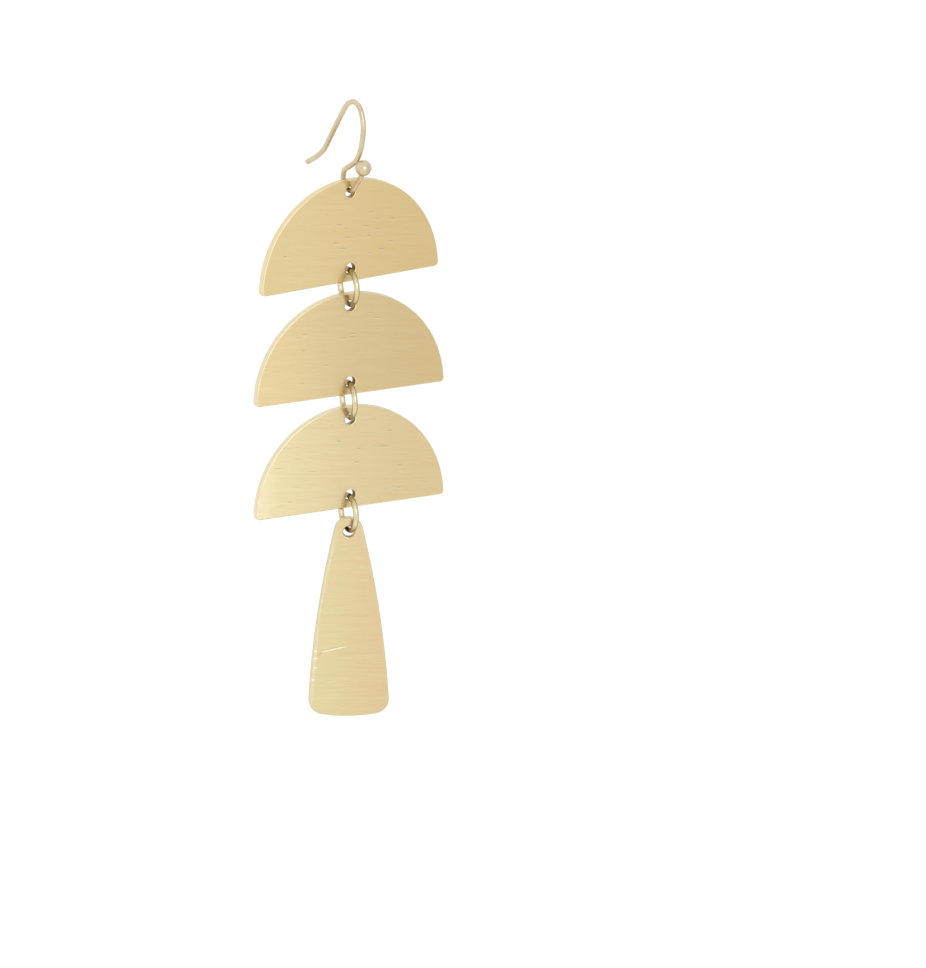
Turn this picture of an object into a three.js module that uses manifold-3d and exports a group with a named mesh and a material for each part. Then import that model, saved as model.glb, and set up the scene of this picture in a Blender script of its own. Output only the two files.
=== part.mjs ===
// Chandelier earring: on an ear hook hang three half moons and a tapered drop, one below the other, on jump
// rings. Millimetres, +Z up, the fronts towards -Y. Every piece hangs on the vertical line through the origin,
// turned about it by its own angle. The origin is at the height of the underside of the hook's top bend, where
// the ear lobe carries the earring.

import * as THREE from "three";
import { mergeVertices } from "three/addons/utils/BufferGeometryUtils.js";
import Module from "manifold-3d";

// Flat sheet that the half moons and the drop are cut from. Both its faces are softened at every edge.
const sheet = { thickness: 1.2, softening: 0.2 };

// Round hole that a wire passes through, and the play that is left between its wall and the wire it hangs on.
const hole = { radius: 0.9, seatGap: 0.24 };

// Half moon: a half disc. Its holes lie in from the arc's top and from the base by the same distance.
const moon = { radius: 17, holeInset: 2.1, cornerRadius: 0.7 };

// Tapered drop, measured from its hole's centre to its foot: a round tip, long side arcs, round corners and
// a slightly full bottom.
const drop = {
  length: 31.1,
  halfWidth: 6.5,
  tipRadius: 2.35,
  sideRadius: 165,
  cornerRadius: 2.5,
  bottomRadius: 28,
};

// Jump ring of round wire, with the fine split where it was closed at the back.
const ring = { radius: 2.88, wire: 0.9, split: 0.12 };

// Ear hook of round wire: height from the loop that carries the earring up to the top bend, reach of the tail
// behind the loop, and the ball soldered to the front end.
const hook = { height: 15, reach: 10.5, wire: 0.85, ball: 2.6 };

// The hook's wire from the ball to the tail, as shares of the reach (forward) and of the height (up).
const hookRoute = [
  { forward: 0.352, up: 0.298 },
  { forward: 0.301, up: 0.199 },
  { forward: 0.205, up: 0.110 },
  { forward: 0.095, up: 0.015 },
  { forward: 0.000, up: 0.000 },
  { forward: -0.080, up: 0.020 },
  { forward: -0.121, up: 0.077 },
  { forward: -0.126, up: 0.152 },
  { forward: -0.084, up: 0.216 },
  { forward: 0.057, up: 0.283 },
  { forward: 0.186, up: 0.356 },
  { forward: 0.274, up: 0.465 },
  { forward: 0.336, up: 0.629 },
  { forward: 0.350, up: 0.775 },
  { forward: 0.303, up: 0.908 },
  { forward: 0.243, up: 0.969 },
  { forward: 0.151, up: 1.000 },
  { forward: 0.055, up: 0.988 },
  { forward: -0.053, up: 0.932 },
  { forward: -0.181, up: 0.804 },
  { forward: -0.450, up: 0.510 },
  { forward: -0.579, up: 0.371 },
  { forward: -0.737, up: 0.273 },
  { forward: -1.000, up: 0.158 },
];

// Turns about the vertical in degrees, as the earring hangs. At 0 a plate faces -Y, and a wire's plane lies
// across it.
const hookTurn = 13;
const tiers = [
  { moon: "half_moon_top", moonTurn: 6.5, ring: "ring_upper", ringTurn: 1 },
  { moon: "half_moon_middle", moonTurn: 0, ring: "ring_middle", ringTurn: -6 },
  { moon: "half_moon_lower", moonTurn: 0, ring: "ring_lower", ringTurn: -2 },
];
const dropTurn = -24;

// Fineness of the facets.
const wireSides = 8;
const steps = { moonArc: 56, corner: 4, hole: 20, tip: 8, side: 10, bottom: 8, ring: 32, hook: 72, ball: 14 };

const wasm = await Module();
wasm.setup();

function radians(degrees) {
  return THREE.MathUtils.degToRad(degrees);
}

// Points along an arc, its first and its last one included.
function arcPoints(centre, radius, from, to, count) {
  const points = [];
  for (let i = 0; i <= count; i += 1) {
    const angle = from + ((to - from) * i) / count;
    points.push(new THREE.Vector2(centre.x + radius * Math.cos(angle), centre.y + radius * Math.sin(angle)));
  }
  return points;
}

// Drops each point that repeats the one before it.
function withoutRepeats(points) {
  const apart = 1e-4;
  return points.filter((point, i) => {
    const before = points[(i + points.length - 1) % points.length];
    return point.distanceTo(before) > apart;
  });
}

// Closed outline from its right half, which runs from the top to the bottom. The left half mirrors it.
function mirrored(rightHalf) {
  const leftHalf = rightHalf.map((point) => new THREE.Vector2(-point.x, point.y)).reverse();
  return withoutRepeats([...rightHalf, ...leftHalf]);
}

// Half disc with its base on y = 0: the arc, and a corner arc that touches both the arc and the base.
function moonOutline() {
  const inner = moon.radius - moon.cornerRadius;
  const corner = new THREE.Vector2(Math.sqrt(inner ** 2 - moon.cornerRadius ** 2), moon.cornerRadius);
  const meeting = corner.angle();
  return mirrored([
    ...arcPoints(new THREE.Vector2(), moon.radius, Math.PI / 2, meeting, steps.moonArc / 2),
    ...arcPoints(corner, moon.cornerRadius, meeting, -Math.PI / 2, steps.corner),
  ]);
}

// Centre of the arc of a given radius that holds two circles inside it and touches both on their right side.
function touchingCentre(first, firstRadius, second, secondRadius, radius) {
  const a = radius - firstRadius;
  const b = radius - secondRadius;
  const between = second.clone().sub(first);
  const distance = between.length();
  const along = (a ** 2 - b ** 2 + distance ** 2) / (2 * distance);
  const across = Math.sqrt(a ** 2 - along ** 2);
  const direction = between.divideScalar(distance);
  const side = new THREE.Vector2(direction.y, -direction.x);
  return first.clone().addScaledVector(direction, along).addScaledVector(side, across);
}

// Tapered drop with its hole at the origin: tip, side, corner and bottom arcs, each touching the next.
function dropOutline() {
  const tip = new THREE.Vector2();
  const bottom = new THREE.Vector2(0, drop.bottomRadius - drop.length);
  const cornerX = drop.halfWidth - drop.cornerRadius;
  const cornerReach = drop.bottomRadius - drop.cornerRadius;
  const corner = new THREE.Vector2(cornerX, bottom.y - Math.sqrt(cornerReach ** 2 - cornerX ** 2));
  const side = touchingCentre(tip, drop.tipRadius, corner, drop.cornerRadius, drop.sideRadius);
  const tipEnd = Math.atan2(tip.y - side.y, tip.x - side.x);
  const cornerStart = Math.atan2(corner.y - side.y, corner.x - side.x);
  const cornerEnd = Math.atan2(corner.y - bottom.y, corner.x - bottom.x);
  return mirrored([
    ...arcPoints(tip, drop.tipRadius, Math.PI / 2, tipEnd, steps.tip),
    ...arcPoints(side, drop.sideRadius, tipEnd, cornerStart, steps.side),
    ...arcPoints(corner, drop.cornerRadius, cornerStart, cornerEnd, 2 * steps.corner),
    ...arcPoints(bottom, drop.bottomRadius, cornerEnd, -Math.PI / 2, steps.bottom),
  ]);
}

// Upright plate of the sheet, its front towards -Y, with round holes and the softened edges.
function plateGeometry(outline, holeCentres) {
  const shape = new THREE.Shape(outline);
  for (const centre of holeCentres) {
    const circle = withoutRepeats(arcPoints(centre, hole.radius, 0, 2 * Math.PI, steps.hole));
    shape.holes.push(new THREE.Path(circle));
  }
  const geometry = new THREE.ExtrudeGeometry(shape, {
    depth: sheet.thickness - 2 * sheet.softening,
    bevelEnabled: true,
    bevelThickness: sheet.softening,
    bevelSize: sheet.softening,
    bevelOffset: -sheet.softening,
    bevelSegments: 1,
  });
  geometry.translate(0, 0, sheet.softening - sheet.thickness / 2);
  geometry.rotateX(Math.PI / 2);
  return geometry;
}

// Half moon that hangs from its upper hole, which lies at its own origin.
function moonGeometry() {
  const upperHole = new THREE.Vector2(0, moon.radius - moon.holeInset);
  const lowerHole = new THREE.Vector2(0, moon.holeInset);
  const geometry = plateGeometry(moonOutline(), [upperHole, lowerHole]);
  geometry.translate(0, 0, -upperHole.y);
  return geometry;
}

// Round wire along a path, closed by a flat face at each end.
function wireGeometry(path, diameter, count) {
  const section = new THREE.Shape(
    withoutRepeats(arcPoints(new THREE.Vector2(), diameter / 2, 0, 2 * Math.PI, wireSides)),
  );
  return new THREE.ExtrudeGeometry(section, { steps: count, extrudePath: path, bevelEnabled: false });
}

// Circle in the Y-Z plane that starts and ends at the split, at the back.
class RingPath extends THREE.Curve {
  getPoint(share, target = new THREE.Vector3()) {
    const halfSplit = ring.split / (2 * ring.radius);
    const angle = halfSplit + share * 2 * (Math.PI - halfSplit);
    return target.set(0, ring.radius * Math.cos(angle), ring.radius * Math.sin(angle));
  }
}

function ringGeometry() {
  return wireGeometry(new RingPath(), ring.wire, steps.ring);
}

// The geometry as a solid, from its positions alone and with its shared corners merged.
function solid(geometry) {
  const bare = geometry.clone();
  bare.deleteAttribute("normal");
  bare.deleteAttribute("uv");
  const merged = mergeVertices(bare, 1e-4);
  const mesh = new wasm.Mesh({
    numProp: 3,
    vertProperties: merged.attributes.position.array,
    triVerts: merged.index.array,
  });
  return new wasm.Manifold(mesh);
}

function fused(first, second) {
  const mesh = solid(first).add(solid(second)).getMesh();
  const geometry = new THREE.BufferGeometry();
  geometry.setAttribute("position", new THREE.BufferAttribute(mesh.vertProperties, 3));
  geometry.setIndex(new THREE.BufferAttribute(mesh.triVerts, 1));
  geometry.computeVertexNormals();
  return geometry;
}

// Hook in the Y-Z plane with its loop's lowest wire centre at its own origin, fused to the ball.
function hookGeometry() {
  const points = hookRoute.map(
    (row) => new THREE.Vector3(0, -row.forward * hook.reach, row.up * hook.height),
  );
  const path = new THREE.CatmullRomCurve3(points, false, "centripetal");
  const ball = new THREE.SphereGeometry(hook.ball / 2, steps.ball, steps.ball / 2);
  ball.translate(points[0].x, points[0].y, points[0].z);
  return fused(wireGeometry(path, hook.wire, steps.hook), ball);
}

function brushedMetal() {
  return new THREE.MeshStandardMaterial({ color: 0xdfc791, roughness: 0.42, metalness: 1 });
}

function polishedMetal() {
  return new THREE.MeshStandardMaterial({ color: 0xe4cd94, roughness: 0.18, metalness: 1 });
}

// A named piece on the vertical line, at its height and turned about the line.
function hung(name, geometry, material, height, turn) {
  const mesh = new THREE.Mesh(geometry, material);
  mesh.name = name;
  mesh.position.z = height;
  mesh.rotation.z = radians(turn);
  return mesh;
}

// How far a hole's centre lies below the wire it hangs on, or above the wire that hangs in it.
function seat(wire) {
  return hole.radius - wire / 2 - hole.seatGap;
}

const earring = new THREE.Group();
let wireCentre = hook.wire / 2 - hook.height;
earring.add(hung("ear_hook", hookGeometry(), polishedMetal(), wireCentre, hookTurn));

let carrier = hook.wire;
for (const tier of tiers) {
  const upperHole = wireCentre - seat(carrier);
  earring.add(hung(tier.moon, moonGeometry(), brushedMetal(), upperHole, tier.moonTurn));
  const lowerHole = upperHole - (moon.radius - 2 * moon.holeInset);
  const ringTop = lowerHole - seat(ring.wire);
  earring.add(hung(tier.ring, ringGeometry(), polishedMetal(), ringTop - ring.radius, tier.ringTurn));
  wireCentre = ringTop - 2 * ring.radius;
  carrier = ring.wire;
}

const dropGeometry = plateGeometry(dropOutline(), [new THREE.Vector2()]);
earring.add(hung("tapered_drop", dropGeometry, brushedMetal(), wireCentre - seat(carrier), dropTurn));

export default earring;
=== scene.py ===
# %% [markdown]
# # A chandelier earring
# An ear hook of round gold wire carries three half moons and a tapered drop of brushed sheet, one below
# the other on jump rings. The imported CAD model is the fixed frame. Every piece below is a finer surface
# for one CAD piece, worked out with numpy, and it rides on the same body.

# %% Load the frame
import math

import bmesh
import bpy
import numpy as np
from mathutils import Matrix, Vector


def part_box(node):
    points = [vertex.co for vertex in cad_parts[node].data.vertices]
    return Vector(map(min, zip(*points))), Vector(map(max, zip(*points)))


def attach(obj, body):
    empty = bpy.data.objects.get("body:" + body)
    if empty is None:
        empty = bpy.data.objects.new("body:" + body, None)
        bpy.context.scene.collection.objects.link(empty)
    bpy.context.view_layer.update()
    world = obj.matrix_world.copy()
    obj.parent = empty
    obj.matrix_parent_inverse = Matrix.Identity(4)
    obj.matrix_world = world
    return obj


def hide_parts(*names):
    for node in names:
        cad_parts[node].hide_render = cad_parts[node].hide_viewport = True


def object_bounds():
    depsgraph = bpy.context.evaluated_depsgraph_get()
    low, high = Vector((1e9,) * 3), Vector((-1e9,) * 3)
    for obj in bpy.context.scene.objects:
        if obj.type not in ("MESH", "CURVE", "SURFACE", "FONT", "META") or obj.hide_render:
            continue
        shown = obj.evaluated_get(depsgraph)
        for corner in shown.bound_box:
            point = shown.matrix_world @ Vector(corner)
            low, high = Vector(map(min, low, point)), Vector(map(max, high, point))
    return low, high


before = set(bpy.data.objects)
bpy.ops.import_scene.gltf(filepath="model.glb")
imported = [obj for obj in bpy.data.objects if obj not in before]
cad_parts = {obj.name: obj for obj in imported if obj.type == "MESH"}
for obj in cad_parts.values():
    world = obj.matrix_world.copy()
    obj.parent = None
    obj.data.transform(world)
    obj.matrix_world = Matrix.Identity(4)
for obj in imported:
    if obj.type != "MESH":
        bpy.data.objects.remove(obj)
cad_low, cad_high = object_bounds()
MM = 0.001
print("CAD box in mm:", [round((high - low) / MM, 2) for low, high in zip(cad_low, cad_high)])

# %% [markdown]
# ## Camera
# In this picture the half moons near the top and near the bottom are equally large, and their straight
# edges are parallel, so the camera stands far away and has a very long lens. The picture looks down on the
# earring by 16 degrees, from 27 degrees to the left of its front. The camera stands on that line and is
# aimed a little to the right of the earring and below its middle, because the earring hangs left of the
# middle of the picture. Aiming does here what a lens shift could also do, and keeps other views centred.
# A matching small roll keeps the line that the earring hangs on upright.

# %% Camera
PICTURE_WIDTH = 926
PICTURE_HEIGHT = 968
PIXELS_PER_MM = 6.2
SENSOR = 36.0
camera_azimuth = math.radians(-27)
camera_elevation = math.radians(16.2)
camera_distance = 4000 * MM
hanging_line_px = 348.6
middle_height_px = 407.5
middle_height = -51.0 * MM


def upright_camera(stand, towards, across):
    """A camera's turn as a matrix: it looks along towards, and its level axis is across, made square to
    that."""
    look = towards.normalized()
    level = (across - across.dot(look) * look).normalized()
    upward = level.cross(look)
    turn = Matrix((level, upward, -look)).transposed().to_4x4()
    return Matrix.Translation(stand) @ turn


towards_camera = Vector((
    math.sin(camera_azimuth) * math.cos(camera_elevation),
    -math.cos(camera_azimuth) * math.cos(camera_elevation),
    math.sin(camera_elevation),
))
picture_right = Vector((math.cos(camera_azimuth), math.sin(camera_azimuth), 0))
picture_up = towards_camera.cross(picture_right)
earring_middle = Vector((0, 0, middle_height))
camera_place = earring_middle + towards_camera * camera_distance
right_of_line = (PICTURE_WIDTH / 2 - hanging_line_px) / PIXELS_PER_MM * MM
below_middle = (PICTURE_HEIGHT / 2 - middle_height_px) / PIXELS_PER_MM * MM
aim = earring_middle + picture_right * right_of_line - picture_up * below_middle

camera_data = bpy.data.cameras.new("camera")
camera_data.sensor_width = SENSOR
camera_data.lens = SENSOR * camera_distance / (PICTURE_HEIGHT / PIXELS_PER_MM * MM)
camera = bpy.data.objects.new("camera", camera_data)
bpy.context.scene.collection.objects.link(camera)
camera.matrix_world = upright_camera(camera_place, aim - camera_place, picture_right)
bpy.context.scene.camera = camera
print("lens of", round(camera_data.lens, 1), "mm at", round(camera_distance / MM), "mm")

# %% [markdown]
# ## Floor and light
# Gold shows little but what stands around it. A white room alone makes it flat, so what the metal mirrors
# is a bright room whose right side is darker, as with a grey card beside the lens. The front of a half
# moon mirrors that card, and its left rim mirrors the white side. The floor is plain and pale, and it is
# lit evenly, so it carries no hard shadow. It doesn't mirror in the metal, because the room below the
# horizon stands for it there.

# %% Node helper
def add_node(tree, kind, inputs=None, **settings):
    """Adds a node, sets its properties, and fills its inputs with values or with other nodes' outputs."""
    made = tree.nodes.new(kind)
    for key, value in settings.items():
        setattr(made, key, value)
    for key, value in (inputs or {}).items():
        if isinstance(value, bpy.types.NodeSocket):
            tree.links.new(value, made.inputs[key])
        else:
            made.inputs[key].default_value = value
    return made


# %% Room that lights the scene
ROOM_FOR_FLOOR = 1.12
ROOM_BRIGHT = (1.0, 0.99, 0.97, 1.0)
ROOM_DARK = (0.82, 0.81, 0.80, 1.0)
DARKER_FROM = 0.35
DARKER_TO = 0.85
bpy.context.scene.view_settings.view_transform = "Standard"
room = bpy.data.worlds.new("pale_room")
room.use_nodes = True
bpy.context.scene.world = room
tree = room.node_tree
tree.nodes.clear()
direction = add_node(tree, "ShaderNodeTexCoord").outputs["Generated"]
sideways = add_node(
    tree, "ShaderNodeVectorMath", {0: direction, 1: tuple(picture_right)}, operation="DOT_PRODUCT"
).outputs["Value"]
darker = add_node(
    tree,
    "ShaderNodeMapRange",
    {"Value": sideways, "From Min": DARKER_FROM, "From Max": DARKER_TO},
    interpolation_type="SMOOTHSTEP",
).outputs["Result"]
mirrored_room = add_node(tree, "ShaderNodeMix", {0: darker, 6: ROOM_BRIGHT, 7: ROOM_DARK}, data_type="RGBA")
ray = add_node(tree, "ShaderNodeLightPath")
shown = add_node(tree, "ShaderNodeBackground", {"Color": (1, 1, 1, 1), "Strength": ROOM_FOR_FLOOR})
mirrored = add_node(tree, "ShaderNodeBackground", {"Color": mirrored_room.outputs[2], "Strength": 1.0})
glossy = ray.outputs["Is Glossy Ray"]
both = add_node(tree, "ShaderNodeMixShader", {0: glossy, 1: shown.outputs[0], 2: mirrored.outputs[0]})
add_node(tree, "ShaderNodeOutputWorld", {"Surface": both.outputs[0]})
print("room nodes:", len(tree.nodes))


# %% Soft lights
def soft_light(name, azimuth, elevation, distance, size, power):
    """An area light, width by height, that looks at the earring's middle from a direction like a camera's."""
    data = bpy.data.lights.new(name, "AREA")
    data.shape = "RECTANGLE"
    data.size, data.size_y = size
    data.energy = power
    lamp = bpy.data.objects.new(name, data)
    lamp.visible_camera = False
    bpy.context.scene.collection.objects.link(lamp)
    angle = math.radians(azimuth)
    lift = math.radians(elevation)
    back = Vector((math.sin(angle) * math.cos(lift), -math.cos(angle) * math.cos(lift), math.sin(lift)))
    lamp.location = earring_middle + back * distance
    lamp.rotation_euler = back.to_track_quat("Z", "Y").to_euler()


soft_light("front_softbox", azimuth=-7, elevation=16, distance=0.7, size=(0.35, 0.35), power=0.5)
soft_light("near_strip", azimuth=17, elevation=-14, distance=0.2, size=(0.05, 0.16), power=0.007)

# %% Floor
FLOOR_DROP = 120 * MM
FLOOR_HALF = 4.0
FLOOR_GREY = 0.93
FLOOR_ROUGHNESS = 0.9
floor_height = cad_low.z - FLOOR_DROP
floor_mesh = bpy.data.meshes.new("floor")
floor_corners = [(-1, -1), (1, -1), (1, 1), (-1, 1)]
floor_points = [(x * FLOOR_HALF, y * FLOOR_HALF, floor_height) for x, y in floor_corners]
floor_mesh.from_pydata(floor_points, [], [(0, 1, 2, 3)])
floor = bpy.data.objects.new("floor", floor_mesh)
bpy.context.scene.collection.objects.link(floor)
floor.visible_glossy = False
pale = bpy.data.materials.new("pale_floor")
pale.use_nodes = True
pale_shader = pale.node_tree.nodes["Principled BSDF"]
pale_shader.inputs["Base Color"].default_value = (FLOOR_GREY, FLOOR_GREY, FLOOR_GREY, 1)
pale_shader.inputs["Roughness"].default_value = FLOOR_ROUGHNESS
floor_mesh.materials.append(pale)
print("floor at", round(floor_height / MM, 1), "mm")

# %% [markdown]
# ## Real sizes
# These are the pieces' measures in millimetres. The proportions come from the picture, and the scale is an
# estimate from the usual thickness of ear wire. With them stand the small turns with which the links have
# come to rest. A link hangs from the wire above it: the wire lies against the upper part of the hole with a
# little play, and each height follows from the one before.

# %% Measures of the pieces
SHEET = 1.2
SOFTENED = 0.2
HOLE = 0.9
SEAT_GAP = 0.24
MOON_RADIUS = 17.0
MOON_HOLE_INSET = 2.1
MOON_CORNER = 0.7
DROP_LENGTH = 31.1
DROP_HALF_WIDTH = 6.5
DROP_TIP = 2.35
DROP_SIDE = 165.0
DROP_CORNER = 2.5
DROP_BOTTOM = 28.0
RING_RADIUS = 2.88
RING_WIRE = 0.9
RING_SPLIT = 0.12
HOOK_HEIGHT = 15.0
HOOK_REACH = 10.5
HOOK_WIRE = 0.85
HOOK_BALL = 2.6
HOOK_TURN = 13
DROP_TURN = -24
TIERS = [
    {"moon": "half_moon_top", "moon_turn": 6.5, "ring": "ring_upper", "ring_turn": 1},
    {"moon": "half_moon_middle", "moon_turn": 0, "ring": "ring_middle", "ring_turn": -6},
    {"moon": "half_moon_lower", "moon_turn": 0, "ring": "ring_lower", "ring_turn": -2},
]


# %% Where each piece hangs
def seat(wire):
    """How far a hole's centre lies below the wire it hangs on: hole radius less wire radius less the play."""
    return HOLE - wire / 2 - SEAT_GAP


places = {"ear_hook": (HOOK_WIRE / 2 - HOOK_HEIGHT, HOOK_TURN)}
wire_centre = places["ear_hook"][0]
carrier = HOOK_WIRE
for tier in TIERS:
    upper_hole = wire_centre - seat(carrier)
    places[tier["moon"]] = (upper_hole, tier["moon_turn"])
    ring_top = upper_hole - (MOON_RADIUS - 2 * MOON_HOLE_INSET) - seat(RING_WIRE)
    places[tier["ring"]] = (ring_top - RING_RADIUS, tier["ring_turn"])
    wire_centre = ring_top - 2 * RING_RADIUS
    carrier = RING_WIRE
places["tapered_drop"] = (wire_centre - seat(carrier), DROP_TURN)
for name, (height, turn) in places.items():
    print(f"{name}: at {height:.2f} mm, turned {turn} degrees")

# %% [markdown]
# ## From arrays to a mesh
# Each surface below is a grid of points over two parameters. Neighbouring rows and columns share cells of
# four corners. Several grids may form one piece: points that coincide are merged, which also closes seams
# and poles, and then the faces are turned outwards. The mesh keeps helpers for the finish: a UV map in
# millimetres, along which the brush lines run, and values that tell the rim, the hole walls and the front
# face from the rest.

# %% Grid cells and pieces
MERGED_WITHIN = 0.0005 * MM
NO_LENGTH = 0.0001 * MM


def grid_cells(rows, columns, first=0):
    """Corner numbers of all cells of a grid whose columns close on themselves, as one whole array."""
    row = np.arange(rows - 1)[:, None]
    column = np.arange(columns)[None, :]
    next_column = (column + 1) % columns
    corners = (
        row * columns + column,
        row * columns + next_column,
        (row + 1) * columns + next_column,
        (row + 1) * columns + column,
    )
    return first + np.stack(np.broadcast_arrays(*corners), axis=-1).reshape(-1, 4)


def hung(points, name):
    """Points in mm turned about the upright line and lowered to the piece's place, in metres."""
    height, turn = places[name]
    angle = math.radians(turn)
    x, y, z = points[..., 0], points[..., 1], points[..., 2]
    turned_x = x * math.cos(angle) - y * math.sin(angle)
    turned_y = x * math.sin(angle) + y * math.cos(angle)
    return np.stack((turned_x, turned_y, z + height), axis=-1) * MM


def make_piece(name, grids):
    """One closed mesh from grids of points, each with its UV in mm and with marks for rim, bore and front."""
    points, maps, cells = [], [], []
    marks = {"rim": [], "bore": [], "front": []}
    first = 0
    for grid in grids:
        rows, columns = grid["points"].shape[:2]
        points.append(hung(grid["points"], name).reshape(-1, 3))
        maps.append(grid["uv"].reshape(-1, 2))
        cells.append(grid_cells(rows, columns, first))
        for kind, values in marks.items():
            values.append(np.broadcast_to(grid.get(kind, 0.0), (rows, columns)).reshape(-1))
        first += rows * columns
    points, maps, cells = np.concatenate(points), np.concatenate(maps), np.concatenate(cells)
    mesh = bpy.data.meshes.new(name + "_fine")
    mesh.from_pydata(points.tolist(), [], cells.tolist())
    corner_points = np.zeros(len(mesh.loops), np.int32)
    mesh.loops.foreach_get("vertex_index", corner_points)
    corner_maps = maps[corner_points].astype(np.float32).ravel()
    mesh.uv_layers.new(name="brushing").uv.foreach_set("vector", corner_maps)
    for kind, values in marks.items():
        attribute = mesh.attributes.new(kind, "FLOAT", "POINT")
        attribute.data.foreach_set("value", np.concatenate(values).astype(np.float32))
    return close_mesh(mesh)


def close_mesh(mesh):
    """Merges coinciding points, turns the faces outwards, and says whether the skin is closed."""
    work = bmesh.new()
    work.from_mesh(mesh)
    bmesh.ops.remove_doubles(work, verts=work.verts, dist=MERGED_WITHIN)
    bmesh.ops.dissolve_degenerate(work, edges=work.edges, dist=NO_LENGTH)
    bmesh.ops.recalc_face_normals(work, faces=work.faces)
    if work.calc_volume(signed=True) < 0:
        bmesh.ops.reverse_faces(work, faces=work.faces)
    open_edges = sum(len(edge.link_faces) != 2 for edge in work.edges)
    volume = work.calc_volume(signed=True) / MM**3
    work.to_mesh(mesh)
    work.free()
    mesh.polygons.foreach_set("use_smooth", np.ones(len(mesh.polygons), bool))
    piece = bpy.data.objects.new(mesh.name, mesh)
    bpy.context.scene.collection.objects.link(piece)
    print(f"{mesh.name}: {len(mesh.polygons)} faces, {open_edges} open edges, {volume:.1f} mm3")
    return piece


# %% [markdown]
# ## Wire
# The hook and the rings are drawn round wire. A wire is a circle carried along a path, with a radius that
# may change on the way: it grows to a ball at the hook's front end, meets the wire in a small solder
# fillet, and closes in a rounded tip at the tail. One skin shows this better than a ball stuck on a tube.
# The paths are flat, so the circle's two axes are the path's own plane and the line square to it, and
# nothing twists.

# %% Circle carried along a path
def carried_circle(path, radius, sides):
    """Grid of a wire: path point + radius (cos a, sin a) along the plane's normal and the in-plane normal.
    The path lies in the Y-Z plane. The UV is the length along the wire and the length round it, in mm."""
    along = np.gradient(path, axis=0)
    tangent = along / np.linalg.norm(along, axis=1, keepdims=True)
    outward = np.cross(tangent, [1.0, 0.0, 0.0])
    angle = np.linspace(0, 2 * np.pi, sides, endpoint=False)
    x_part = np.cos(angle)[None, :, None] * np.array([1.0, 0.0, 0.0])
    in_plane = np.sin(angle)[None, :, None] * outward[:, None, :]
    points = path[:, None, :] + radius[:, None, None] * (x_part + in_plane)
    length = np.concatenate([[0], np.cumsum(np.linalg.norm(np.diff(path, axis=0), axis=1))])
    uv = np.stack(np.broadcast_arrays(length[:, None], angle[None, :] * radius.max()), axis=-1)
    return {"points": points, "uv": uv}


# %% [markdown]
# ## Ear hook
# Such a hook is bent over a mandrel, so its curve has no simple formula. It passes smoothly through
# the same points as the CAD wire: forward and up, as shares of the hook's reach and height. Between two
# points the curve is a cubic whose slopes come from its neighbours, spaced by the root of their distance,
# which keeps tight bends from looping.

# %% Path of the hook
HOOK_ROUTE = np.array([
    (0.352, 0.298), (0.301, 0.199), (0.205, 0.110), (0.095, 0.015), (0.000, 0.000),
    (-0.080, 0.020), (-0.121, 0.077), (-0.126, 0.152), (-0.084, 0.216), (0.057, 0.283),
    (0.186, 0.356), (0.274, 0.465), (0.336, 0.629), (0.350, 0.775), (0.303, 0.908),
    (0.243, 0.969), (0.151, 1.000), (0.055, 0.988), (-0.053, 0.932), (-0.181, 0.804),
    (-0.450, 0.510), (-0.579, 0.371), (-0.737, 0.273), (-1.000, 0.158),
])


def smooth_path(points, steps):
    """Curve through the points: in each span a cubic from its two ends and from slopes that weigh the
    neighbouring chords by the square root of their lengths (a centripetal Catmull-Rom curve)."""
    ends = np.concatenate([[2 * points[0] - points[1]], points, [2 * points[-1] - points[-2]]])
    spacing = np.sqrt(np.linalg.norm(np.diff(ends, axis=0), axis=1))[:, None]
    chord = np.diff(ends, axis=0)
    slope = chord[:-1] / spacing[:-1] + chord[1:] / spacing[1:]
    slope -= (ends[2:] - ends[:-2]) / (spacing[:-1] + spacing[1:])
    share = np.linspace(0, 1, steps, endpoint=False)[None, :, None]
    start, finish = ends[1:-2, None, :], ends[2:-1, None, :]
    leaving = (slope[:-1] * spacing[1:-1])[:, None, :]
    arriving = (slope[1:] * spacing[1:-1])[:, None, :]
    cubic = (
        (2 * share**3 - 3 * share**2 + 1) * start
        + (share**3 - 2 * share**2 + share) * leaving
        + (3 * share**2 - 2 * share**3) * finish
        + (share**3 - share**2) * arriving
    )
    return np.concatenate([cubic.reshape(-1, points.shape[1]), points[-1:]])


def along_path(path, lengths):
    """Points at the given lengths along a path. Before its start the path goes on straight backwards."""
    travelled = np.concatenate([[0], np.cumsum(np.linalg.norm(np.diff(path, axis=0), axis=1))])
    found = np.stack([np.interp(lengths, travelled, path[:, axis]) for axis in range(3)], axis=-1)
    backward = (path[0] - path[1]) / np.linalg.norm(path[0] - path[1])
    return found + np.clip(-lengths, 0, None)[:, None] * backward


forward, upward = HOOK_ROUTE[:, 0], HOOK_ROUTE[:, 1]
route_mm = np.stack([0 * forward, -forward * HOOK_REACH, upward * HOOK_HEIGHT], axis=-1)
hook_path = smooth_path(route_mm, 40)
hook_length = np.linalg.norm(np.diff(hook_path, axis=0), axis=1).sum()
print("hook wire:", round(hook_length, 1), "mm long")

# %% Ear hook
SOLDER = 0.28
TAIL_CAP = 0.36
WIRE_STEP = 0.13
HOOK_SIDES = 28


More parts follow.
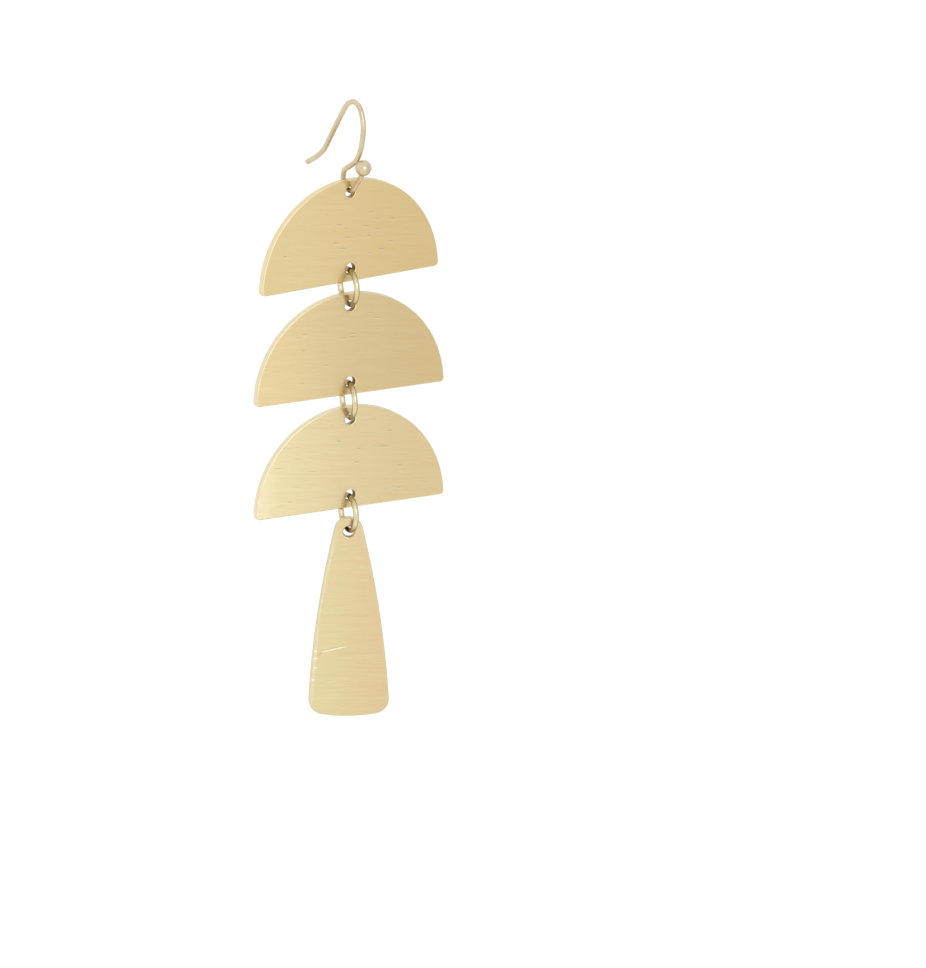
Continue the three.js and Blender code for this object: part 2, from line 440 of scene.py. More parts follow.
def hook_grid():
    """The hook's skin. Over the ball the radius is that of a sphere, sqrt(R^2 - s^2). It meets the wire's
    radius in a smooth larger-of-both with a fillet, and falls at the tail like a quarter of an ellipse."""
    ball, wire = HOOK_BALL / 2, HOOK_WIRE / 2
    cap = np.linspace(0, np.pi / 2, 10)[1:]
    over_ball = -ball * np.cos(np.linspace(0, 0.88 * np.pi, 40))
    over_solder = np.linspace(0.95 * ball, 1.9 * ball, 16)
    along_wire = np.arange(1.95 * ball, hook_length - TAIL_CAP, WIRE_STEP)
    over_tail = hook_length - TAIL_CAP + TAIL_CAP * np.sin(cap)
    lengths = np.concatenate([over_ball, over_solder, along_wire, over_tail])
    sphere = np.sqrt(np.clip(ball**2 - lengths**2, 0, None))
    share = np.clip(0.5 + 0.5 * (sphere - wire) / SOLDER, 0, 1)
    joined = wire + share * (sphere - wire) + SOLDER * share * (1 - share)
    radius = np.where(lengths < 0, sphere, joined)
    radius[-len(cap):] = wire * np.cos(cap)
    return carried_circle(along_path(hook_path, lengths), radius, HOOK_SIDES)


pieces = {"ear_hook": make_piece("ear_hook", [hook_grid()])}

# %% [markdown]
# ## Jump rings
# A jump ring is one turn of wire, sawn off a coil and closed with two pairs of pliers, so a hair-fine split
# stays. The path is a circle that starts and ends at the split, and each end is flat with an eased edge.

# %% Jump rings
EASED_END = 0.1
EASE_STEPS = 5
RING_STEPS = 121
RING_SIDES = 24


def ring_grid():
    """One turn of wire: a circle of radius R at the angles that leave the split open. At both ends the radius
    starts at the middle of the flat end, steps out to the eased edge and rounds up to the full wire."""
    split = RING_SPLIT / (2 * RING_RADIUS)
    ease = EASED_END / RING_RADIUS
    turn = np.linspace(0, np.pi / 2, EASE_STEPS)
    opening = split + ease * (1 - np.cos(turn))
    full = np.linspace(split + ease, 2 * np.pi - split - ease, RING_STEPS)[1:-1]
    angle = np.concatenate([[split], opening, full, (2 * np.pi - opening)[::-1], [2 * np.pi - split]])
    edge = RING_WIRE / 2 - EASED_END * (1 - np.sin(turn))
    radius = np.concatenate([[0], edge, np.full(len(full), RING_WIRE / 2), edge[::-1], [0]])
    path = np.stack([0 * angle, RING_RADIUS * np.cos(angle), RING_RADIUS * np.sin(angle)], axis=-1)
    path_ahead = np.stack([0 * angle, -np.sin(angle), np.cos(angle)], axis=-1)
    side = np.linspace(0, 2 * np.pi, RING_SIDES, endpoint=False)
    outward = np.cross(path_ahead, [1.0, 0.0, 0.0])
    x_part = np.cos(side)[None, :, None] * np.array([1.0, 0.0, 0.0])
    in_plane = np.sin(side)[None, :, None] * outward[:, None, :]
    points = path[:, None, :] + radius[:, None, None] * (x_part + in_plane)
    uv = np.stack(np.broadcast_arrays(angle[:, None] * RING_RADIUS, side[None, :] * RING_WIRE / 2), axis=-1)
    return {"points": points, "uv": uv}


for tier in TIERS:
    pieces[tier["ring"]] = make_piece(tier["ring"], [ring_grid()])

# %% [markdown]
# ## Outlines of the plates
# The half moons and the drop are stamped from sheet. Their outlines are arcs and straight lines that
# touch, so an outline is a list of points, each with the direction that points out of the sheet there.
# With that direction the same outline can be drawn further in, which gives the softened edge. Only the
# right half is worked out, and the left half mirrors it.

# %% Arcs, lines and a closed outline
def arc(centre, radius, first, last, count):
    """Points centre + radius (cos a, sin a), and their outward directions (cos a, sin a)."""
    angle = np.linspace(first, last, count + 1)
    outward = np.stack([np.cos(angle), np.sin(angle)], axis=-1)
    return np.array(centre) + radius * outward, outward


def straight(first, last, outward, count):
    """Points evenly from first to last, all with one outward direction."""
    share = np.linspace(0, 1, count + 1)[:, None]
    points = np.array(first) * (1 - share) + np.array(last) * share
    return points, np.broadcast_to(np.array(outward, float), points.shape)


def whole_outline(parts):
    """Joins touching parts from the top down the right side, and mirrors them back up the left side."""
    points = np.concatenate([part[0][:-1] for part in parts] + [parts[-1][0][-1:]])
    outward = np.concatenate([part[1][:-1] for part in parts] + [parts[-1][1][-1:]])
    left = np.array([-1.0, 1.0])
    points = np.concatenate([points, points[-2:0:-1] * left])
    outward = np.concatenate([outward, outward[-2:0:-1] * left])
    return points, outward


# %% Outline of a half moon
def moon_outline():
    """Half disc on its base: the arc down to the level between the holes, the rest of it, the corner arc that
    touches arc and base, and the base. Also returns the number of points from the top to that level."""
    inner = MOON_RADIUS - MOON_CORNER
    corner = (math.sqrt(inner**2 - MOON_CORNER**2), MOON_CORNER)
    meeting = math.atan2(corner[1], corner[0])
    level = math.asin((MOON_RADIUS / 2) / (MOON_RADIUS - SOFTENED))
    upper_count = 90
    points, outward = whole_outline([
        arc((0, 0), MOON_RADIUS, math.pi / 2, level, upper_count),
        arc((0, 0), MOON_RADIUS, level, meeting, count=44),
        arc(corner, MOON_CORNER, meeting, -math.pi / 2, count=10),
        straight((corner[0], 0), (0, 0), (0, -1), count=70),
    ])
    return points, outward, upper_count


# %% Outline of the drop
def touching_centre(first, first_radius, second, second_radius, radius):
    """Centre of the large arc that holds two circles and touches both on their right side: it is radius less
    each circle's own radius away from each centre, so two sides of a triangle give it."""
    a, b = radius - first_radius, radius - second_radius
    apart = np.subtract(second, first)
    distance = np.linalg.norm(apart)
    along = (a**2 - b**2 + distance**2) / (2 * distance)
    across = math.sqrt(a**2 - along**2)
    direction = apart / distance
    return np.array(first) + direction * along + np.array([direction[1], -direction[0]]) * across


def drop_outline():
    """Tapered drop with its hole at the origin: tip, long side, corner and bottom arcs, each touching the
    next."""
    tip = np.zeros(2)
    bottom = np.array([0, DROP_BOTTOM - DROP_LENGTH])
    corner_x = DROP_HALF_WIDTH - DROP_CORNER
    corner = np.array([corner_x, bottom[1] - math.sqrt((DROP_BOTTOM - DROP_CORNER) ** 2 - corner_x**2)])
    side = touching_centre(tip, DROP_TIP, corner, DROP_CORNER, DROP_SIDE)
    tip_end = math.atan2(*(tip - side)[::-1])
    corner_start = math.atan2(*(corner - side)[::-1])
    corner_end = math.atan2(*(corner - bottom)[::-1])
    return whole_outline([
        arc(tip, DROP_TIP, math.pi / 2, tip_end, count=20),
        arc(side, DROP_SIDE, tip_end, corner_start, count=110),
        arc(corner, DROP_CORNER, corner_start, corner_end, count=24),
        arc(bottom, DROP_BOTTOM, corner_end, -math.pi / 2, count=24),
    ])


print("half moon outline:", len(moon_outline()[0]), "points; drop outline:", len(drop_outline()[0]), "points")

# %% [markdown]
# ## Plates
# A plate could be a filled curve with a bevel, but long thin triangles between its holes shade badly. Here
# every cell is a small patch of a grid. Around each hole, rows of points run from the edge of the plate to
# the hole, through it and back out over the back, so front, hole wall and back are one surface. A half
# moon has two holes and is shared out between them along a level line. One more strip carries the round
# edge along the outline.

# %% Profile of the softened edge
EDGE_STEPS = 5
ROUNDED_SHARE = 0.75
TINY = 1e-6
edge_turn = np.linspace(0, np.pi / 2, EDGE_STEPS + 1)
edge_inset = SOFTENED * (1 - np.sin(edge_turn))
edge_depth = SHEET / 2 - SOFTENED * (1 - np.cos(edge_turn))
profile_inset = np.concatenate([edge_inset, edge_inset[::-1]])
profile_y = np.concatenate([-edge_depth, edge_depth[::-1]])
profile_wall = (np.abs(profile_y) < SHEET / 2 - SOFTENED + TINY).astype(float)
profile_rim = ROUNDED_SHARE + (1 - ROUNDED_SHARE) * profile_wall
profile_rim[[0, -1]] = 0


def upright(flat, y):
    """Points of the plate's plane stood up, x across and z up, at depth y."""
    return np.stack(np.broadcast_arrays(flat[..., 0], y, flat[..., 1]), axis=-1)


def outline_strip(points, outward):
    """The edge strip: each outline point moved in by the profile's inset, at the profile's depth."""
    flat = points[None] - profile_inset[:, None, None] * outward[None]
    return {"points": upright(flat, profile_y[:, None]), "uv": flat, "rim": profile_rim[:, None]}


# %% Surface round a hole
FACE_SHARES = np.array([0.0, 0.012, 0.08, 0.25, 0.5, 0.75, 0.92, 0.985])


def hole_surface(boundary, centre):
    """From the boundary to the hole, through it, and back. A face row is boundary + share (rim - boundary),
    where the rim point lies in the boundary point's direction. The hole's edge follows the softened
    profile."""
    centre = np.array(centre)
    reach = boundary - centre
    direction = reach / np.linalg.norm(reach, axis=1, keepdims=True)
    rim = centre + direction * (HOLE + SOFTENED)
    face = boundary[None] + FACE_SHARES[:, None, None] * (rim - boundary)[None]
    wall = centre + direction[None] * (HOLE + profile_inset)[:, None, None]
    flat = np.concatenate([face, wall, face[::-1]])
    front = np.full(len(face), -SHEET / 2)
    depth = np.concatenate([front, profile_y, -front])
    in_bore = np.concatenate([0 * front, profile_wall, 0 * front])
    in_front = (depth < -SHEET / 2 + TINY).astype(float)
    marks = {"bore": in_bore[:, None], "front": in_front[:, None]}
    return {"points": upright(flat, depth[:, None]), "uv": flat, **marks}


# %% Half moons
def moon_grids():
    """Edge strip, the part round the upper hole and the part round the lower hole, hung by the upper hole."""
    points, outward, upper = moon_outline()
    inset = points - SOFTENED * outward
    right, left = inset[upper], inset[-upper]
    level_line, _ = straight(right, left, (0, 1), count=56)
    above = np.concatenate([inset[: upper + 1], level_line[1:-1], inset[-upper:]])
    below = np.concatenate([inset[upper : len(inset) - upper + 1], level_line[::-1][1:-1]])
    upper_hole = (0, MOON_RADIUS - MOON_HOLE_INSET)
    grids = [
        outline_strip(points, outward),
        hole_surface(above, upper_hole),
        hole_surface(below, (0, MOON_HOLE_INSET)),
    ]
    for grid in grids:
        grid["points"] = grid["points"] - np.array([0, 0, upper_hole[1]])
    return grids


for tier in TIERS:
    pieces[tier["moon"]] = make_piece(tier["moon"], moon_grids())

# %% Tapered drop
drop_points, drop_outward = drop_outline()
drop_grids = [
    outline_strip(drop_points, drop_outward),
    hole_surface(drop_points - SOFTENED * drop_outward, (0, 0)),
]
pieces["tapered_drop"] = make_piece("tapered_drop", drop_grids)

# %% [markdown]
# ## Brushed finish
# Such sheet is drawn over an abrasive belt before it is stamped, so fine parallel lines run across each
# plate, and here and there a coarser grain has left a short dash. A dash is a real groove, but its colour is
# painted: shade in the dash and a painted highlight just below it. Noise that is stretched along one
# direction of the plate's own map gives such lines. Three lengths are mixed, because one alone looks combed.
# The effect is a node group, because each plate uses it with its own place in the pattern. Nicks and
# scratches that have their own places on the front are laid over it, each as a small map of its own, and
# shown by painted shade and painted highlights.

# %% Brush lines as a node group
NOISE_ROUGHNESS = 0.55
BROAD_SCALE = (0.05, 0.9, 1)
MIDDLE_SCALE = (0.13, 3.2, 1)
FINE_SCALE = (0.33, 8.5, 1)
PATCH_SCALE = (0.13, 0.35, 1)
DASH_SCALE = (0.42, 7.5, 1)
LIGHT_BELOW_DARK = 1.1
BROAD_SHARE = 0.30
MIDDLE_SHARE = 0.40
FINE_SHARE = 0.30
DASH_DEPTH = -0.5


def add_socket(group, name, kind, way):
    """Adds a named input or output to a node group."""
    group.interface.new_socket(name=name, in_out=way, socket_type=kind)


def stretched_noise(tree, vector, scale, detail=2.0, shift=0.0):
    """Noise whose grain is 1/scale mm in each direction of the map, shifted across the lines by some
    grains."""
    inputs = {"Vector": vector, "Scale": scale, "Location": (0, shift, 0)}
    mapping = add_node(tree, "ShaderNodeMapping", inputs)
    inputs = {"Vector": mapping.outputs[0], "Scale": 1.0, "Detail": detail, "Roughness": NOISE_ROUGHNESS}
    return add_node(tree, "ShaderNodeTexNoise", inputs, noise_dimensions="2D").outputs["Fac"]


def math_node(tree, operation, *values):
    """A Math node's output, from one, two or three values or sockets."""
    return add_node(tree, "ShaderNodeMath", dict(enumerate(values)), operation=operation).outputs[0]


def between(tree, value, low, high):
    """Value mapped smoothly from low..high to 0..1."""
    inputs = {"Value": value, "From Min": low, "From Max": high}
    return add_node(tree, "ShaderNodeMapRange", inputs, interpolation_type="SMOOTHSTEP").outputs["Result"]


brush_lines = bpy.data.node_groups.new("brush_lines", "ShaderNodeTree")
add_socket(brush_lines, "Map", "NodeSocketVector", "INPUT")
add_socket(brush_lines, "Tone", "NodeSocketFloat", "OUTPUT")
add_socket(brush_lines, "Dash highlights", "NodeSocketFloat", "OUTPUT")
add_socket(brush_lines, "Dark dashes", "NodeSocketFloat", "OUTPUT")
add_socket(brush_lines, "Height", "NodeSocketFloat", "OUTPUT")
tree = brush_lines
plate_map = add_node(tree, "NodeGroupInput").outputs["Map"]
broad = stretched_noise(tree, plate_map, BROAD_SCALE)
middle = stretched_noise(tree, plate_map, MIDDLE_SCALE)
fine = stretched_noise(tree, plate_map, FINE_SCALE)
tone = math_node(tree, "MULTIPLY_ADD", broad, BROAD_SHARE, math_node(tree, "MULTIPLY", middle, MIDDLE_SHARE))
tone = math_node(tree, "MULTIPLY_ADD", fine, FINE_SHARE, tone)
dash_noise = stretched_noise(tree, plate_map, DASH_SCALE, 1.0)
# Painted highlight: a copy of the dash noise, shifted across the lines, paints a light line just below each
# dark dash.
dash_below = stretched_noise(tree, plate_map, DASH_SCALE, 1.0, LIGHT_BELOW_DARK)
where = between(tree, stretched_noise(tree, plate_map, PATCH_SCALE, 1.0), 0.40, 0.60)
dash_highlights = math_node(tree, "MULTIPLY", between(tree, dash_below, 0.67, 0.76), where)
dark_dashes = math_node(tree, "MULTIPLY", between(tree, dash_noise, 0.67, 0.78), where)
height = math_node(tree, "ADD", tone, math_node(tree, "MULTIPLY", dark_dashes, DASH_DEPTH))
add_node(
    tree,
    "NodeGroupOutput",
    {"Tone": tone, "Dash highlights": dash_highlights, "Dark dashes": dark_dashes, "Height": height},
)
print("brush_lines nodes:", len(tree.nodes))


# %% Brushed gold
PAINTED_SIDE_LIGHT_SHARE = 0.8
TONE_START = 0.1
DASH_HIGHLIGHT_SHARE = 0.8
EDGE_REFLECTION_SHARE = 0.6
BRUSHED_ROUGHNESS = 0.30
LINE_ROUGHNESS = -0.08
RIM_ROUGHNESS = 0.12
ANISOTROPY = 0.95
ACROSS_THE_LINES = 0.25
LINE_DEPTH = 0.003 * MM
NICK_REACH = 0.6


def mix_colour(tree, factor, first, second):
    """A Mix node for colours: its output, from a factor and two colours or sockets."""
    made = add_node(tree, "ShaderNodeMix", data_type="RGBA")
    for key, value in ((0, factor), (6, first), (7, second)):
        if isinstance(value, bpy.types.NodeSocket):
            tree.links.new(value, made.inputs[key])
        else:
            made.inputs[key].default_value = value
    return made.outputs[2]


def stroke(tree, plate_map, start, finish, width):
    """Mask of a straight mark: its own map runs from 0 to 1 between two places and is one wide across it. The
    mark fades across its width and over the last third of its length."""
    run, rise = finish[0] - start[0], finish[1] - start[1]
    inputs = {
        "Vector": plate_map,
        "Location": (start[0], start[1], 0),
        "Rotation": (0, 0, math.atan2(rise, run)),
        "Scale": (math.hypot(run, rise), width, 1),
    }
    own_map = add_node(tree, "ShaderNodeMapping", inputs, vector_type="TEXTURE").outputs[0]
    own = add_node(tree, "ShaderNodeSeparateXYZ", {"Vector": own_map})
    ahead = between(tree, own.outputs["X"], -0.06, 0.06)
    behind = between(tree, own.outputs["X"], 1.0, 0.66)
    beside = between(tree, math_node(tree, "ABSOLUTE", own.outputs["Y"]), 0.5, 0.15)
    return math_node(tree, "MULTIPLY", math_node(tree, "MULTIPLY", ahead, behind), beside)


def painted_edge_reflection(tree, colour, first, full, share):
    """Painted reflection: the colour, mixed with brown by a share where the surface turns away from the eye,
    by Layer Weight, for the darker room that the sides mirror.
    """
    facing = add_node(tree, "ShaderNodeLayerWeight", {"Blend": 0.5}).outputs["Facing"]
    edge = math_node(tree, "MULTIPLY", between(tree, facing, first, full), share)
    return mix_colour(tree, edge, colour, PAINTED_DARK_BROWN)


def nick_mask(tree, plate_map, nicks, fall):
    """Mask of short nicks. Each has its own map, centred on it and laid along it, in which it is a soft
    disc: 1 near its middle and 0 at distance 1. Nicks are listed by left end and length, in mm."""
    mask = 0.0
    for left, up, length in nicks:
        inputs = {
            "Vector": plate_map,
            "Location": (left + length / 2, up - length / 2 * math.tan(fall), 0),
            "Rotation": (0, 0, -fall),
            "Scale": (NICK_REACH * length, NICK_HALF_WIDTH, 1),
        }
        own_map = add_node(tree, "ShaderNodeMapping", inputs, vector_type="TEXTURE").outputs[0]
        away = add_node(tree, "ShaderNodeVectorMath", {0: own_map}, operation="LENGTH").outputs["Value"]
        mask = math_node(tree, "MAXIMUM", mask, between(tree, away, 1.0, 0.4))
    return mask


def brushed_gold(
    name,
    shaded_right_lit_left_tones,
    half_width,
    fall=0,
    place=(0, 0, 0),
    streaks=0.9,
    dashes=0.3,
    rim_share=0.9,
    nicks=(),
    marks=(),
):
    """Brushed plating: a tone painted lighter from the plate's right to its left, as painted light, brush
    lines that fall to the right by an angle, dashes with a painted highlight below them, and a paler rim. A
    nick is painted dark as shade, with a painted highlight line below it. Each mark is a colour, a strength,
    and the start, finish and width of its stroke. Nicks and marks are on the front."""
    material = bpy.data.materials.new(name)
    material.use_nodes = True
    tree = material.node_tree
    shader = tree.nodes["Principled BSDF"]
    uv = add_node(tree, "ShaderNodeUVMap", uv_map="brushing").outputs["UV"]
    inputs = {"Vector": uv, "Rotation": (0, 0, math.radians(fall)), "Location": place}
    plate = add_node(tree, "ShaderNodeMapping", inputs).outputs[0]
    lines = add_node(tree, "ShaderNodeGroup", node_tree=brush_lines)
    tree.links.new(plate, lines.inputs["Map"])
    rim = add_node(tree, "ShaderNodeAttribute", attribute_name="rim").outputs["Fac"]
    bore = add_node(tree, "ShaderNodeAttribute", attribute_name="bore").outputs["Fac"]
    front = add_node(tree, "ShaderNodeAttribute", attribute_name="front").outputs["Fac"]

    # Painted light: the plate's colour goes from its darker tone at the right to its lighter tone at the
    # left.
    sideways = add_node(tree, "ShaderNodeSeparateXYZ", {"Vector": uv}).outputs["X"]
    painted_side_light = between(tree, sideways, half_width, -half_width)
    streak_share = math_node(tree, "MULTIPLY_ADD", lines.outputs["Tone"], streaks, TONE_START - streaks / 2)
    share = math_node(tree, "MULTIPLY_ADD", painted_side_light, PAINTED_SIDE_LIGHT_SHARE, streak_share)
    colour = mix_colour(tree, share, *shaded_right_lit_left_tones)

    light = math_node(tree, "MULTIPLY", lines.outputs["Dash highlights"], DASH_HIGHLIGHT_SHARE * dashes)
    dark = math_node(tree, "MULTIPLY", lines.outputs["Dark dashes"], dashes)
    # Painted light: each nick is painted dark as shade, with a painted highlight line a little below it.
    if nicks:
        angle = math.radians(fall)
        inputs = {"Vector": uv, "Location": (0, NICK_STEP, 0)}
        lower_map = add_node(tree, "ShaderNodeMapping", inputs).outputs[0]
        nick_shades = math_node(tree, "MULTIPLY", nick_mask(tree, uv, nicks, angle), front)
        nick_highlights = math_node(tree, "MULTIPLY", nick_mask(tree, lower_map, nicks, angle), front)
        light = math_node(tree, "MAXIMUM", light, math_node(tree, "MULTIPLY", nick_highlights, NICK_HIGHLIGHT))
        dark = math_node(tree, "MAXIMUM", dark, math_node(tree, "MULTIPLY", nick_shades, NICK_SHADE))
    colour = mix_colour(tree, light, colour, PALE_GOLD)
    colour = mix_colour(tree, dark, colour, BROWN_GOLD)
    for mark_colour, strength, start, finish, width in marks:
        mark = math_node(tree, "MULTIPLY", stroke(tree, uv, start, finish, width), strength)
        mark = math_node(tree, "MULTIPLY", mark, front)
        colour = mix_colour(tree, mark, colour, mark_colour)

    colour = mix_colour(tree, math_node(tree, "MULTIPLY", rim, rim_share), colour, RIM_GOLD)
    # Painted shade: the hole walls are painted dark brown, for the shade inside the holes.
    colour = mix_colour(tree, math_node(tree, "MULTIPLY", bore, BORE_SHADE_SHARE), colour, PAINTED_BORE_SHADE)
    # Painted reflection: the plate is painted browner where its surface turns away from the eye.
    colour = painted_edge_reflection(tree, colour, 0.62, 0.95, EDGE_REFLECTION_SHARE)
    tree.links.new(colour, shader.inputs["Base Color"])
    rough = math_node(tree, "MULTIPLY_ADD", lines.outputs["Tone"], LINE_ROUGHNESS, BRUSHED_ROUGHNESS)
    rough = math_node(tree, "MULTIPLY_ADD", rim, RIM_ROUGHNESS, rough)
    tree.links.new(rough, shader.inputs["Roughness"])
    shader.inputs["Metallic"].default_value = 1.0
    shader.inputs["Anisotropic"].default_value = ANISOTROPY
    shader.inputs["Anisotropic Rotation"].default_value = ACROSS_THE_LINES
    grain = add_node(tree, "ShaderNodeTangent", direction_type="UV_MAP", uv_map="brushing")
    tree.links.new(grain.outputs[0], shader.inputs["Tangent"])
    smooth_rim = math_node(tree, "SUBTRACT", 1.0, rim)
    bump = add_node(tree, "ShaderNodeBump", {"Height": lines.outputs["Height"], "Strength": smooth_rim})
    bump.inputs["Distance"].default_value = LINE_DEPTH
    tree.links.new(bump.outputs[0], shader.inputs["Normal"])
    return material


# %% [markdown]
# ## Gold tones, painted light and shade, and the wear on each plate
# The plates don't all show the same gold, so each has two tones, one for its right and one for its left,
# found by trial. Between each hole and the near edge it is a little browner. The nicks and marks are listed
# as places on the plate's own map in mm, with the half moon's base at height 0 and the drop's hole at the
# origin.
# The two tones of a plate are painted light: its left is painted lighter than its right, and each pair is set
# for how that plate turns to the room.

# %% Gold tones and half moon finishes
PALE_GOLD = (0.98, 0.90, 0.68, 1)
RIM_GOLD = (0.90, 0.83, 0.61, 1)
BROWN_GOLD = (0.50, 0.36, 0.17, 1)
PAINTED_DARK_BROWN = (0.36, 0.27, 0.14, 1)
PAINTED_BORE_SHADE = (0.20, 0.15, 0.10, 1)
BORE_SHADE_SHARE = 0.85
NICK_HALF_WIDTH = 0.12
NICK_STEP = 0.17
NICK_HIGHLIGHT = 0.4
NICK_SHADE = 0.42
# Painted shade: from each hole to the near edge the plate is painted browner, where the wire runs close over
# it.
PAINTED_SHADE_BY_HOLES = [
    (BROWN_GOLD, 0.35, (0, MOON_RADIUS - MOON_HOLE_INSET - 1.0), (0, MOON_RADIUS + 1.5), 3.0),
    (BROWN_GOLD, 0.35, (0, MOON_HOLE_INSET + 1.0), (0, -1.5), 3.0),
]
# Painted highlight: a paler band along the lower half moon's left edge, where it catches more of the light.
PAINTED_LEFT_EDGE_LIGHT = (PALE_GOLD, 0.35, (-17.8, -4.0), (-16.2, 16.0), 9.0)
TOP_NICKS = [
    (3.5, 11.1, 1.0), (4.6, 9.8, 1.0), (7.6, 9.4, 1.0), (-2.8, 9.9, 1.1), (-1.3, 9.1, 0.9),
    (2.2, 9.0, 1.4), (4.5, 8.1, 1.3), (-1.2, 7.6, 1.4), (3.0, 7.2, 1.0), (-3.4, 6.9, 1.1),
    (-2.3, 5.9, 1.6), (7.6, 5.6, 0.7), (5.4, 4.6, 1.1), (3.2, 4.3, 0.8), (-12.9, 6.2, 0.6),
]
MIDDLE_NICKS = [
    (-0.2, 10.3, 1.3), (-0.3, 9.7, 1.1), (-1.6, 9.7, 1.0), (4.2, 12.4, 1.2), (3.3, 13.4, 0.6),
    (4.7, 10.4, 0.6), (-8.8, 8.5, 0.8), (-9.9, 10.8, 0.9), (-8.8, 11.2, 1.0), (-4.6, 5.5, 0.8),
    (-9.0, 3.0, 0.6),
]
LOWER_NICKS = [
    (4.3, 9.8, 3.0), (-2.6, 11.5, 1.0), (6.6, 12.1, 1.0), (-14.0, 8.4, 1.9), (1.2, 9.8, 0.7),
    (0.4, 7.6, 1.4), (8.6, 6.0, 0.7), (8.6, 2.3, 0.6), (-11.4, 2.4, 0.9),
]
top_finish = brushed_gold(
    "brushed_gold_top",
    shaded_right_lit_left_tones=((0.84, 0.645, 0.32, 1), (0.97, 0.785, 0.43, 1)),
    half_width=MOON_RADIUS,
    fall=9,
    streaks=0.65,
    dashes=0.2,
    rim_share=0.55,
    nicks=TOP_NICKS,
    marks=PAINTED_SHADE_BY_HOLES,
)
middle_finish = brushed_gold(
    "brushed_gold_middle",
    shaded_right_lit_left_tones=((0.80, 0.62, 0.32, 1), (0.86, 0.70, 0.39, 1)),
    half_width=MOON_RADIUS,
    fall=7.5,
    place=(41, 17, 0),
    streaks=1.1,
    dashes=0.2,
    nicks=MIDDLE_NICKS,
    marks=PAINTED_SHADE_BY_HOLES,
)
lower_finish = brushed_gold(
    "brushed_gold_lower",
    shaded_right_lit_left_tones=((0.87, 0.69, 0.385, 1), (0.90, 0.79, 0.48, 1)),
    half_width=MOON_RADIUS,
    fall=7.5,
    place=(83, 59, 0),
    streaks=1.3,
    dashes=0.3,
    nicks=LOWER_NICKS,
    marks=[*PAINTED_SHADE_BY_HOLES, PAINTED_LEFT_EDGE_LIGHT],
)
print("top finish nodes:", len(top_finish.node_tree.nodes))

# %% Marks of wear on the drop, painted as light and shade, and painted light along its left edge
DROP_WEAR_AND_PAINTED_LIGHT = [
    # A scratch, painted as a highlight with a painted shade line above it, and a dark mark at its start.
    (PALE_GOLD, 0.9, (-4.33, -20.15), (0.10, -19.25), 0.30),
    (BROWN_GOLD, 0.3, (-4.33, -19.95), (-0.10, -19.05), 0.24),
    (BROWN_GOLD, 0.4, (-5.10, -20.80), (-4.20, -20.25), 0.30),
    # Nicks near the left edge, painted as highlights.
    (PALE_GOLD, 0.9, (-5.65, -20.00), (-5.05, -20.15), 0.45),
    (PALE_GOLD, 0.9, (-5.70, -21.20), (-5.00, -21.30), 0.40),
    (PALE_GOLD, 0.8, (-5.70, -22.80), (-5.00, -22.90), 0.32),
    (PALE_GOLD, 0.9, (-6.10, -24.80), (-5.60, -24.95), 0.40),
    # Painted highlight: two pale bands along the drop's left edge.
    (PALE_GOLD, 0.3, (-4.85, -11.00), (-6.60, -33.00), 1.2),
    (PALE_GOLD, 0.3, (-5.55, -16.00), (-1.75, 2.00), 1.0),
]
drop_finish = brushed_gold(
    "brushed_gold_drop",
    shaded_right_lit_left_tones=((0.71, 0.55, 0.315, 1), (0.77, 0.67, 0.385, 1)),
    half_width=DROP_HALF_WIDTH,
    place=(23, 91, 0),
    streaks=1.3,
    rim_share=0.6,
    marks=DROP_WEAR_AND_PAINTED_LIGHT,
)
print("drop finish nodes:", len(drop_finish.node_tree.nodes))

# %% [markdown]
# ## Polished wire
# The wire is tumbled until it shines, so it mirrors the room. A fine brown line is painted along each edge
# where the surface turns away from the eye, a painted reflection of the darker studio behind it. The hook is
# a little duller than the rings. The rings are painted browner at top and bottom, a painted shade where they
# lie close against the plates. A faint unevenness from handling breaks the reflections up.

# %% Polished gold
HANDLING_SCALE = 0.55
HANDLING_ROUGHNESS = 0.08
EDGE_REFLECTION_SPAN = 0.5


def polished_gold(name, dark, light, roughness, edge_reflection_start, edge_reflection_share, contact_shade_share):
    """Polished plating: two close gold tones, a nearly even roughness, a painted dark reflection along the
    edges, and painted shade where a ring lies against the plates."""
    material = bpy.data.materials.new(name)
    material.use_nodes = True
    tree = material.node_tree
    shader = tree.nodes["Principled BSDF"]
    place = add_node(tree, "ShaderNodeTexCoord").outputs["Object"]
    inputs = {"Vector": place, "Scale": (1 / MM, 1 / MM, 1 / MM)}
    in_mm = add_node(tree, "ShaderNodeMapping", inputs).outputs[0]
    inputs = {"Vector": in_mm, "Scale": HANDLING_SCALE, "Detail": 2.0}
    handled = add_node(tree, "ShaderNodeTexNoise", inputs).outputs["Fac"]
    colour = mix_colour(tree, between(tree, handled, 0.35, 0.65), dark, light)
    # Painted shade: a ring is painted browner at top and bottom, where it lies close against the plates.
    if contact_shade_share:
        colour = mix_colour(tree, math_node(tree, "MULTIPLY", painted_contact_shade(tree), contact_shade_share), colour, PAINTED_DARK_BROWN)
    colour = painted_edge_reflection(tree, colour, edge_reflection_start, edge_reflection_start + EDGE_REFLECTION_SPAN, edge_reflection_share)
    tree.links.new(colour, shader.inputs["Base Color"])
    rough = math_node(tree, "MULTIPLY_ADD", handled, HANDLING_ROUGHNESS, roughness)
    tree.links.new(rough, shader.inputs["Roughness"])
    shader.inputs["Metallic"].default_value = 1.0
    return material


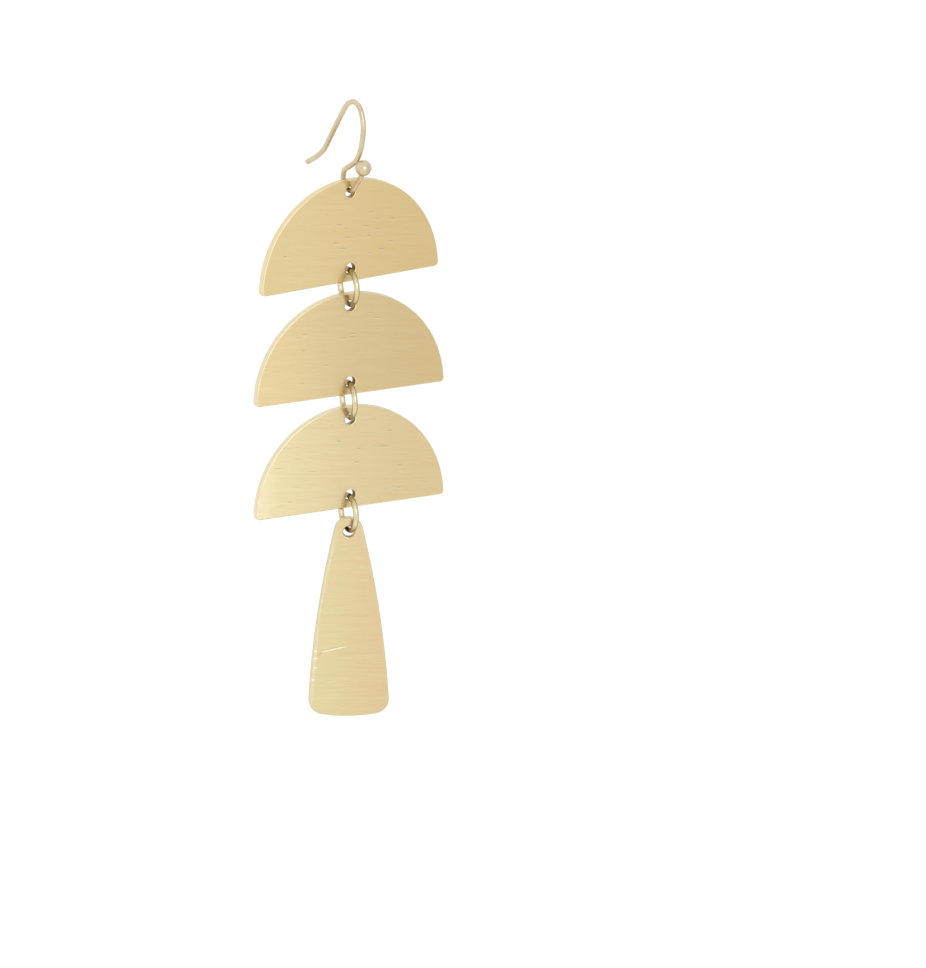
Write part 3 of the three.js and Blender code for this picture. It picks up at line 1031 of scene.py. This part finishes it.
def painted_contact_shade(tree):
    """Mask of the painted shade at the top and bottom of a ring, where it lies close against the plates:
    |sin(length / R)| along its wire, from the map.
    """
    uv = add_node(tree, "ShaderNodeUVMap", uv_map="brushing").outputs["UV"]
    length = add_node(tree, "ShaderNodeSeparateXYZ", {"Vector": uv}).outputs["X"]
    height = math_node(tree, "SINE", math_node(tree, "DIVIDE", length, RING_RADIUS))
    return between(tree, math_node(tree, "ABSOLUTE", height), 0.40, 0.95)


hook_finish = polished_gold(
    "polished_gold_hook",
    dark=(0.68, 0.575, 0.385, 1),
    light=(0.74, 0.64, 0.44, 1),
    roughness=0.24,
    edge_reflection_start=0.35,
    edge_reflection_share=0.4,
    contact_shade_share=0,
)
ring_finish = polished_gold(
    "polished_gold_rings",
    dark=(0.75, 0.63, 0.38, 1),
    light=(0.85, 0.755, 0.52, 1),
    roughness=0.10,
    edge_reflection_start=0.18,
    edge_reflection_share=0.9,
    contact_shade_share=0.75,
)
print("hook finish nodes:", len(hook_finish.node_tree.nodes))

# %% [markdown]
# ## Put together
# Each fine piece stands for one CAD node, rides on that node's body, and takes the record's finish.

# %% Finish, ride and replace
BODIES = {
    "ear_hook": "hook",
    "half_moon_top": "top_moon",
    "ring_upper": "upper_ring",
    "half_moon_middle": "middle_moon",
    "ring_middle": "middle_ring",
    "half_moon_lower": "lower_moon",
    "ring_lower": "lower_ring",
    "tapered_drop": "drop",
}
FINISHES = {
    "ear_hook": hook_finish,
    "ring_upper": ring_finish,
    "ring_middle": ring_finish,
    "ring_lower": ring_finish,
    "half_moon_top": top_finish,
    "half_moon_middle": middle_finish,
    "half_moon_lower": lower_finish,
    "tapered_drop": drop_finish,
}
for node, piece in pieces.items():
    piece.data.materials.append(FINISHES[node])
    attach(piece, BODIES[node])
    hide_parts(node)
    low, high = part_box(node)
    corners = np.array([vertex.co for vertex in piece.data.vertices])
    apart = max(np.abs(corners.min(0) - np.array(low)).max(), np.abs(corners.max(0) - np.array(high)).max())
    print(f"{node}: box within {apart / MM:.3f} mm of the CAD piece's")
